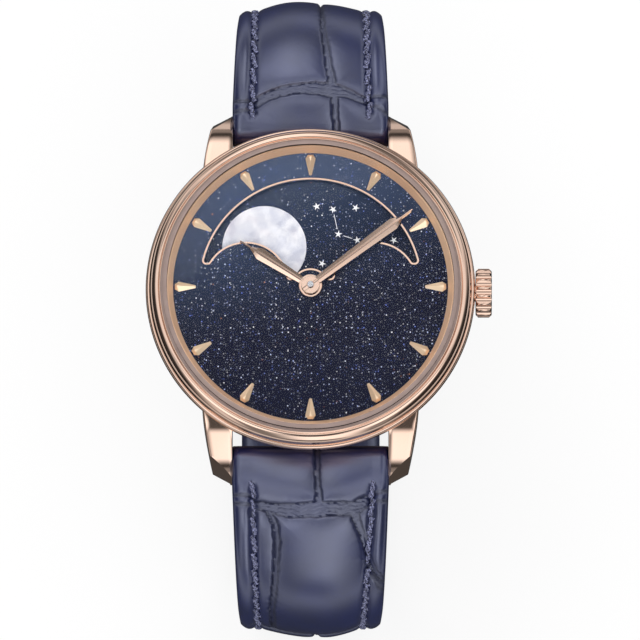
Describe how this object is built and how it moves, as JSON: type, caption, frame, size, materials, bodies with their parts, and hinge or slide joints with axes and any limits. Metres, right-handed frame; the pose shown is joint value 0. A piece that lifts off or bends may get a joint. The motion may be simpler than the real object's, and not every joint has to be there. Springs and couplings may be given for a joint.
{
  "type": "moon phase wristwatch",
  "caption": "Round dress wristwatch with a moon phase opening in a dark sparkling dial, faceted hands, domed crystal, fluted crown, four lugs and a curved leather strap with a pin buckle.",
  "frame": {"origin": "centre of the case back's outer face", "axes": "+Z out through the dial and crystal, +Y to twelve o'clock, +X to three o'clock and the crown"},
  "size_m": [0.0401, 0.073, 0.0484],
  "materials": {
    "gold": "polished rose gold",
    "flange": "satin rose gold",
    "crystal": "clear, polished",
    "seal": "matt",
    "steel": "fine brushed",
    "spring": "tempered",
    "aventurine": "dark blue glass with fine sparkles",
    "moon_ground": "dark blue glass with fine sparkles",
    "pearl": "mother of pearl",
    "nickel": "striped nickel",
    "ruby": "polished synthetic ruby",
    "gilt": "gilt",
    "strap_leather": "semi-gloss, square scales"
  },
  "bodies": {
    "root": {"case_middle": "gold", "bezel": "gold", "crystal": "crystal", "crystal_gasket": "seal", "flange_ring": "flange", "case_back": "gold", "back_crystal": "crystal", "back_gasket": "seal", "case_back_screws": "steel", "movement_ring": "nickel", "dial": "aventurine", "aperture_frame": "gold", "hour_markers": "gold", "crown_tube": "gold", "main_plate": "nickel", "barrel_bridge": "nickel", "train_bridge": "nickel", "balance_cock": "nickel", "pallet_bridge": "nickel", "bridge_screws": "steel", "jewels": "ruby", "moon_bridge": "nickel", "spring_bars": "steel"},
    "minute": {"minute_hand": "gold", "cannon_pinion": "steel"},
    "centre": {"centre_wheel": "gilt"},
    "hour": {"hour_hand": "gold", "hour_wheel": "gilt"},
    "minute_wheel": {"minute_wheel": "gilt"},
    "setting_wheel": {"setting_wheel": "steel"},
    "moon_drive": {"moon_drive_wheel": "gilt"},
    "moon_idler": {"moon_idler": "gilt"},
    "moon_disc": {"moon_disc": "moon_ground", "moon_inlays": "pearl"},
    "barrel": {"barrel_drum": "gilt", "barrel_cover": "gilt"},
    "third": {"third_wheel": "gilt"},
    "fourth": {"fourth_wheel": "gilt"},
    "escape": {"escape_wheel": "steel"},
    "pallet": {"pallet_fork": "steel"},
    "balance": {"balance_wheel": "gilt", "hairspring": "spring"},
    "winding_pinion": {"winding_pinion": "steel"},
    "crown": {"crown": "gold", "winding_stem": "steel"},
    "sliding_pinion": {"sliding_pinion": "steel"},
    "setting_lever": {"setting_lever": "steel"},
    "crown_wheel": {"crown_wheel": "steel"},
    "ratchet": {"ratchet_wheel": "steel", "barrel_arbor": "steel", "mainspring": "spring"},
    "click": {"click": "steel"},
    "strap_12": {"strap_12": "strap_leather", "buckle_bar": "gold", "fixed_keeper": "strap_leather"},
    "strap_6": {"strap_6": "strap_leather"},
    "sliding_keeper": {"sliding_keeper": "strap_leather"},
    "buckle_frame": {"buckle_frame": "gold"},
    "buckle_prong": {"buckle_prong": "gold"}
  },
  "joints": [
    {"name": "minute_turn", "type": "hinge", "parent": "root", "child": "minute", "pos_m": [0, 0, 0.008], "axis": [0, 0, -1], "continuous": true},
    {"name": "hour_turn", "type": "hinge", "parent": "root", "child": "hour", "pos_m": [0, 0, 0.008], "axis": [0, 0, -1], "continuous": true},
    {"name": "minute_wheel_turn", "type": "hinge", "parent": "root", "child": "minute_wheel", "pos_m": [0.00226, -0.00082, 0.0056], "axis": [0, 0, -1], "continuous": true},
    {"name": "setting_wheel_turn", "type": "hinge", "parent": "root", "child": "setting_wheel", "pos_m": [0.00627, 0, 0.0056], "axis": [0, 0, -1], "continuous": true},
    {"name": "moon_drive_turn", "type": "hinge", "parent": "root", "child": "moon_drive", "pos_m": [-0.00465, -0.00169, 0.006], "axis": [0, 0, -1], "continuous": true},
    {"name": "moon_idler_turn", "type": "hinge", "parent": "root", "child": "moon_idler", "pos_m": [-0.0035, -0.00591, 0.006], "axis": [0, 0, -1], "continuous": true},
    {"name": "moon_disc_turn", "type": "hinge", "parent": "root", "child": "moon_disc", "pos_m": [0, 0, 0.0066], "axis": [0, 0, -1], "continuous": true},
    {"name": "barrel_turn", "type": "hinge", "parent": "root", "child": "barrel", "pos_m": [0.00434, 0.00517, 0.0032], "axis": [0, 0, -1], "continuous": true},
    {"name": "fourth_turn", "type": "hinge", "parent": "root", "child": "fourth", "pos_m": [-0.00324, -0.00523, 0.0035], "axis": [0, 0, -1], "continuous": true},
    {"name": "centre_turn", "type": "hinge", "parent": "root", "child": "centre", "pos_m": [0, 0, 0.0039], "axis": [0, 0, -1], "continuous": true},
    {"name": "third_turn", "type": "hinge", "parent": "root", "child": "third", "pos_m": [-0.00423, -0.00154, 0.0033], "axis": [0, 0, -1], "continuous": true},
    {"name": "escape_turn", "type": "hinge", "parent": "root", "child": "escape", "pos_m": [-0.00047, -0.00683, 0.0038], "axis": [0, 0, -1], "continuous": true},
    {"name": "pallet_swing", "type": "hinge", "parent": "root", "child": "pallet", "pos_m": [0.0017, -0.00683, 0.0038], "axis": [0, 0, 1], "range_deg": [-5, 5]},
    {"name": "balance_swing", "type": "hinge", "parent": "root", "child": "balance", "pos_m": [0.00485, -0.00628, 0.003], "axis": [0, 0, 1], "range_deg": [-135, 135]},
    {"name": "crown_turn", "type": "hinge", "parent": "root", "child": "winding_pinion", "pos_m": [0.013, 0, 0.00414], "axis": [1, 0, 0], "continuous": true},
    {"name": "crown_pull", "type": "slide", "parent": "winding_pinion", "child": "crown", "axis": [1, 0, 0], "range_m": [0, 0.001]},
    {"name": "sliding_pinion_slide", "type": "slide", "parent": "winding_pinion", "child": "sliding_pinion", "axis": [-1, 0, 0], "range_m": [0, 0.0009]},
    {"name": "setting_lever_swing", "type": "hinge", "parent": "root", "child": "setting_lever", "pos_m": [0.01408, -0.0026, 0.0056], "axis": [0, 0, -1], "range_deg": [0, 22.63]},
    {"name": "crown_wheel_turn", "type": "hinge", "parent": "root", "child": "crown_wheel", "pos_m": [0.01065, 0, 0.002], "axis": [0, 0, 1], "continuous": true},
    {"name": "ratchet_turn", "type": "hinge", "parent": "root", "child": "ratchet", "pos_m": [0.00434, 0.00517, 0.002], "axis": [0, 0, 1], "continuous": true},
    {"name": "click_swing", "type": "hinge", "parent": "root", "child": "click", "pos_m": [-0.00072, 0.00956, 0.0013], "axis": [0, 0, 1], "range_deg": [-6, 0]},
    {"name": "strap_6_swing", "type": "hinge", "parent": "root", "child": "strap_6", "pos_m": [0, -0.0199, 0.00255], "axis": [-1, 0, 0], "range_deg": [0, 45]},
    {"name": "strap_12_swing", "type": "hinge", "parent": "root", "child": "strap_12", "pos_m": [0, 0.0199, 0.00255], "axis": [1, 0, 0], "range_deg": [0, 45]},
    {"name": "sliding_keeper_slide", "type": "slide", "parent": "strap_12", "child": "sliding_keeper", "axis": [0, 1, 0], "range_m": [0, 0.0024]},
    {"name": "buckle_frame_swing", "type": "hinge", "parent": "strap_12", "child": "buckle_frame", "pos_m": [0, 0.0052, -0.0334], "axis": [-1, 0, 0], "range_deg": [0, 45]},
    {"name": "buckle_prong_swing", "type": "hinge", "parent": "buckle_frame", "child": "buckle_prong", "pos_m": [0, 0.0052, -0.0334], "axis": [-1, 0, 0], "range_deg": [0, 45]}
  ],
  "couplings": [
    {"joint": "hour_turn", "follows": "minute_turn", "ratio": 0.083333},
    {"joint": "minute_wheel_turn", "follows": "minute_turn", "ratio": -0.33333},
    {"joint": "setting_wheel_turn", "follows": "minute_turn", "ratio": 0.26087},
    {"joint": "moon_drive_turn", "follows": "minute_turn", "ratio": -0.02381},
    {"joint": "moon_idler_turn", "follows": "minute_turn", "ratio": 0.0095238},
    {"joint": "moon_disc_turn", "follows": "minute_turn", "ratio": 0.00070547},
    {"joint": "centre_turn", "follows": "fourth_turn", "ratio": 0.016667},
    {"joint": "barrel_turn", "follows": "fourth_turn", "ratio": -0.0020833},
    {"joint": "third_turn", "follows": "fourth_turn", "ratio": -0.13333},
    {"joint": "escape_turn", "follows": "fourth_turn", "ratio": -9},
    {"joint": "sliding_pinion_slide", "follows": "crown_pull", "ratio": 0.9},
    {"joint": "setting_lever_swing", "follows": "crown_pull", "rad_per_m": 394.79},
    {"joint": "crown_wheel_turn", "follows": "crown_turn", "ratio": 0.59259},
    {"joint": "ratchet_turn", "follows": "crown_turn", "ratio": -0.35185},
    {"joint": "strap_12_swing", "follows": "strap_6_swing", "ratio": 1}
  ]
}
